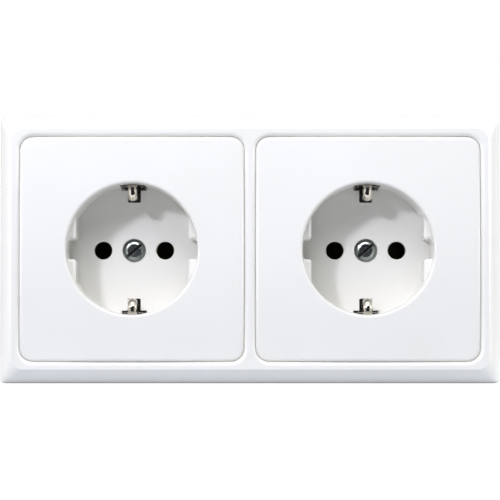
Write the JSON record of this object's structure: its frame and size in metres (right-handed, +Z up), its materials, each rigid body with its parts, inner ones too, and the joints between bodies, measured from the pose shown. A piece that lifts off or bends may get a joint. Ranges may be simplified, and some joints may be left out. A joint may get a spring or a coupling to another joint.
{
  "type": "wall socket",
  "caption": "White flush wall socket: round earthed wells side by side in one cover frame, with contacts, terminals and fixing claws behind.",
  "frame": {"origin": "centre of the cover frame on the wall plane", "axes": "+Z up the wall, +X to the right seen from the front, -Y out of the wall towards the user, +Y into the wall"},
  "size_m": [0.152, 0.0433, 0.081],
  "materials": {
    "white": "smooth moulded",
    "base": "moulded",
    "cover": "moulded",
    "release": "moulded",
    "zinc": "zinc plated",
    "claw": "zinc plated",
    "nickel": "nickel plated",
    "spring": "bright",
    "contact": "bright"
  },
  "bodies": {
    "housing": {"cover_frame": "white", "left_centre_plate": "white", "left_plate_screw": "zinc", "left_support_ring": "zinc", "left_ring_rivets": "zinc", "left_socket_base": "base", "left_rear_cover": "cover", "left_cover_screws": "zinc", "left_earth_bracket": "nickel", "left_neutral_contact": "contact", "left_live_contact": "contact", "left_neutral_spring": "spring", "left_live_spring": "spring", "left_earth_spring": "spring", "right_centre_plate": "white", "right_plate_screw": "zinc", "right_support_ring": "zinc", "right_ring_rivets": "zinc", "right_socket_base": "base", "right_rear_cover": "cover", "right_cover_screws": "zinc", "right_earth_bracket": "nickel", "right_neutral_contact": "contact", "right_live_contact": "contact", "right_neutral_spring": "spring", "right_live_spring": "spring", "right_earth_spring": "spring"},
    "left_upper_claw_screw": {"left_upper_claw_screw": "zinc"},
    "left_upper_claw_nut": {"left_upper_claw_nut": "zinc"},
    "left_upper_claw": {"left_upper_claw": "claw"},
    "left_lower_claw_screw": {"left_lower_claw_screw": "zinc"},
    "left_lower_claw_nut": {"left_lower_claw_nut": "zinc"},
    "left_lower_claw": {"left_lower_claw": "claw"},
    "left_live_release": {"left_live_release": "release"},
    "left_neutral_release": {"left_neutral_release": "release"},
    "left_earth_release": {"left_earth_release": "release"},
    "right_upper_claw_screw": {"right_upper_claw_screw": "zinc"},
    "right_upper_claw_nut": {"right_upper_claw_nut": "zinc"},
    "right_upper_claw": {"right_upper_claw": "claw"},
    "right_lower_claw_screw": {"right_lower_claw_screw": "zinc"},
    "right_lower_claw_nut": {"right_lower_claw_nut": "zinc"},
    "right_lower_claw": {"right_lower_claw": "claw"},
    "right_live_release": {"right_live_release": "release"},
    "right_neutral_release": {"right_neutral_release": "release"},
    "right_earth_release": {"right_earth_release": "release"}
  },
  "joints": [
    {"name": "left_upper_claw_nut_slide", "type": "slide", "parent": "housing", "child": "left_upper_claw_nut", "axis": [0, -1, 0], "range_m": [0, 0.005]},
    {"name": "left_upper_claw_screw_turn", "type": "hinge", "parent": "housing", "child": "left_upper_claw_screw", "pos_m": [-0.0611, 0, 0.0075], "axis": [0, 1, 0], "range_deg": [0, 3600]},
    {"name": "left_upper_claw_swing", "type": "hinge", "parent": "left_upper_claw_nut", "child": "left_upper_claw", "pos_m": [-0.0586, 0.01965, 0.0075], "axis": [0, 0, 1], "range_deg": [0, 20]},
    {"name": "left_lower_claw_nut_slide", "type": "slide", "parent": "housing", "child": "left_lower_claw_nut", "axis": [0, -1, 0], "range_m": [0, 0.005]},
    {"name": "left_lower_claw_screw_turn", "type": "hinge", "parent": "housing", "child": "left_lower_claw_screw", "pos_m": [-0.0099, 0, -0.0075], "axis": [0, 1, 0], "range_deg": [0, 3600]},
    {"name": "left_lower_claw_swing", "type": "hinge", "parent": "left_lower_claw_nut", "child": "left_lower_claw", "pos_m": [-0.0124, 0.01965, -0.0075], "axis": [0, 0, -1], "range_deg": [0, 20]},
    {"name": "left_live_release_press", "type": "slide", "parent": "housing", "child": "left_live_release", "axis": [0, -1, 0], "range_m": [0, 0.0012], "stiffness_N_per_m": 2500},
    {"name": "left_neutral_release_press", "type": "slide", "parent": "housing", "child": "left_neutral_release", "axis": [0, -1, 0], "range_m": [0, 0.0012], "stiffness_N_per_m": 2500},
    {"name": "left_earth_release_press", "type": "slide", "parent": "housing", "child": "left_earth_release", "axis": [0, -1, 0], "range_m": [0, 0.0012], "stiffness_N_per_m": 2500},
    {"name": "right_upper_claw_nut_slide", "type": "slide", "parent": "housing", "child": "right_upper_claw_nut", "axis": [0, -1, 0], "range_m": [0, 0.005]},
    {"name": "right_upper_claw_screw_turn", "type": "hinge", "parent": "housing", "child": "right_upper_claw_screw", "pos_m": [0.0099, 0, 0.0075], "axis": [0, 1, 0], "range_deg": [0, 3600]},
    {"name": "right_upper_claw_swing", "type": "hinge", "parent": "right_upper_claw_nut", "child": "right_upper_claw", "pos_m": [0.0124, 0.01965, 0.0075], "axis": [0, 0, 1], "range_deg": [0, 20]},
    {"name": "right_lower_claw_nut_slide", "type": "slide", "parent": "housing", "child": "right_lower_claw_nut", "axis": [0, -1, 0], "range_m": [0, 0.005]},
    {"name": "right_lower_claw_screw_turn", "type": "hinge", "parent": "housing", "child": "right_lower_claw_screw", "pos_m": [0.0611, 0, -0.0075], "axis": [0, 1, 0], "range_deg": [0, 3600]},
    {"name": "right_lower_claw_swing", "type": "hinge", "parent": "right_lower_claw_nut", "child": "right_lower_claw", "pos_m": [0.0586, 0.01965, -0.0075], "axis": [0, 0, -1], "range_deg": [0, 20]},
    {"name": "right_live_release_press", "type": "slide", "parent": "housing", "child": "right_live_release", "axis": [0, -1, 0], "range_m": [0, 0.0012], "stiffness_N_per_m": 2500},
    {"name": "right_neutral_release_press", "type": "slide", "parent": "housing", "child": "right_neutral_release", "axis": [0, -1, 0], "range_m": [0, 0.0012], "stiffness_N_per_m": 2500},
    {"name": "right_earth_release_press", "type": "slide", "parent": "housing", "child": "right_earth_release", "axis": [0, -1, 0], "range_m": [0, 0.0012], "stiffness_N_per_m": 2500}
  ],
  "couplings": [
    {"joint": "left_upper_claw_screw_turn", "follows": "left_upper_claw_nut_slide", "rad_per_m": 12566},
    {"joint": "left_upper_claw_swing", "follows": "left_upper_claw_nut_slide", "rad_per_m": 69.813},
    {"joint": "left_lower_claw_screw_turn", "follows": "left_lower_claw_nut_slide", "rad_per_m": 12566},
    {"joint": "left_lower_claw_swing", "follows": "left_lower_claw_nut_slide", "rad_per_m": 69.813},
    {"joint": "right_upper_claw_screw_turn", "follows": "right_upper_claw_nut_slide", "rad_per_m": 12566},
    {"joint": "right_upper_claw_swing", "follows": "right_upper_claw_nut_slide", "rad_per_m": 69.813},
    {"joint": "right_lower_claw_screw_turn", "follows": "right_lower_claw_nut_slide", "rad_per_m": 12566},
    {"joint": "right_lower_claw_swing", "follows": "right_lower_claw_nut_slide", "rad_per_m": 69.813}
  ]
}
